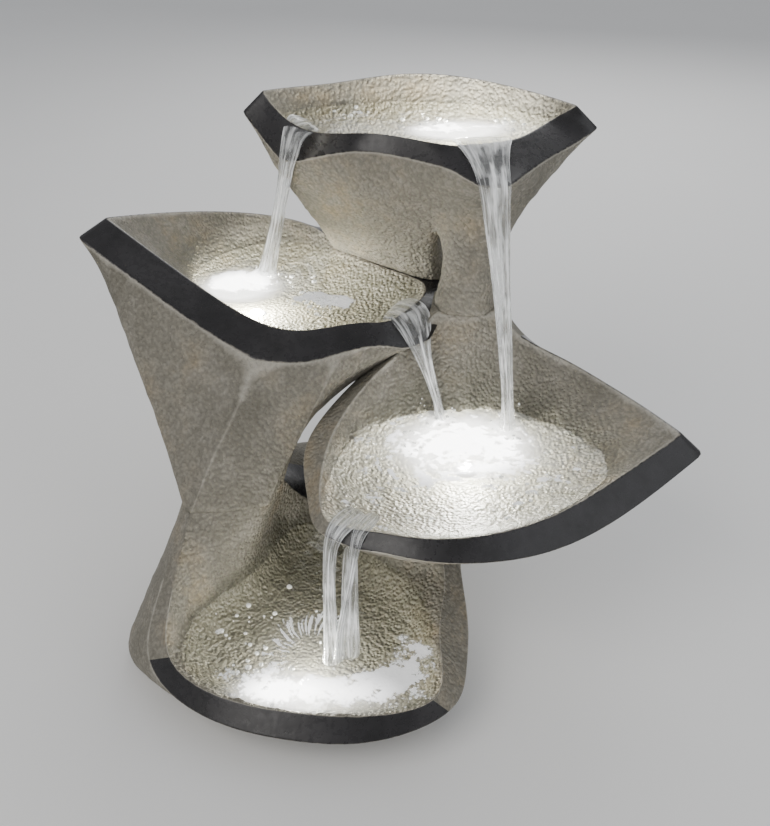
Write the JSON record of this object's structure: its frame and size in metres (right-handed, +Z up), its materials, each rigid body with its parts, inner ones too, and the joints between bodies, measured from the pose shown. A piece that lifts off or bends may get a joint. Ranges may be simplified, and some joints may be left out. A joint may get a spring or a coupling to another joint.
{
  "type": "tabletop water fountain",
  "caption": "Sculptural tabletop water fountain: stacked cast-stone basins with pointed rims pour from one to the next, lit by sunk lamps and fed by a pump in the base.",
  "frame": {"origin": "centre of the object's bounding box, on the surface that its feet rest on", "axes": "+X to the viewer's right along the widest reach of the bowls, +Y away from the viewer, +Z up"},
  "size_m": [0.491, 0.4378, 0.3963],
  "materials": {
    "cast_stone": "hammered, matt, with near-black glossy rim bands",
    "pump_plastic": "moulded black",
    "impeller_plastic": "moulded light grey",
    "shaft_ceramic": "ground",
    "black_rubber": "matt",
    "filter_foam": "open-cell foam",
    "riser_vinyl": "clear flexible tube",
    "led_body": "potted black puck",
    "led_lens": "clear dome, lit white from inside",
    "cover_plastic": "moulded, stone-dark"
  },
  "bodies": {
    "fountain": {"basin": "cast_stone", "left_bowl": "cast_stone", "right_bowl": "cast_stone", "top_bowl": "cast_stone", "riser_tube": "riser_vinyl", "top_diffuser": "pump_plastic", "pump_housing": "pump_plastic", "pump_outlet": "pump_plastic", "rear_bush": "impeller_plastic", "impeller_shaft": "shaft_ceramic", "filter_foam": "filter_foam", "intake_grille": "pump_plastic", "suction_cup_front_left": "black_rubber", "suction_cup_front_right": "black_rubber", "suction_cup_rear_left": "black_rubber", "suction_cup_rear_right": "black_rubber", "led_body_basin": "led_body", "led_body_left": "led_body", "led_body_right": "led_body", "led_body_top": "led_body", "led_lens_basin": "led_lens", "led_lens_left": "led_lens", "led_lens_right": "led_lens", "led_lens_top": "led_lens", "foot_front_left": "black_rubber", "foot_front_right": "black_rubber", "foot_rear_left": "black_rubber", "foot_rear_right": "black_rubber"},
    "impeller": {"impeller": "impeller_plastic"},
    "flow_dial": {"flow_dial": "impeller_plastic"},
    "strainer": {"pump_strainer": "pump_plastic", "front_bush": "impeller_plastic"},
    "rear_cover": {"rear_cover": "cover_plastic", "cord_gland": "black_rubber", "cover_pull": "cover_plastic"}
  },
  "joints": [
    {"name": "impeller_spin", "type": "hinge", "parent": "fountain", "child": "impeller", "pos_m": [-0.0355, 0.07015, 0.029], "axis": [0, 1, 0], "continuous": true},
    {"name": "flow_dial_turn", "type": "hinge", "parent": "fountain", "child": "flow_dial", "pos_m": [-0.0175, 0.06315, 0.029], "axis": [1, 0, 0], "range_deg": [0, 90]},
    {"name": "strainer_pull", "type": "slide", "parent": "fountain", "child": "strainer", "axis": [0, -1, 0], "range_m": [0, 0.0095]},
    {"name": "rear_cover_pull", "type": "slide", "parent": "fountain", "child": "rear_cover", "axis": [0, 1, 0], "range_m": [0, 0.06]}
  ]
}
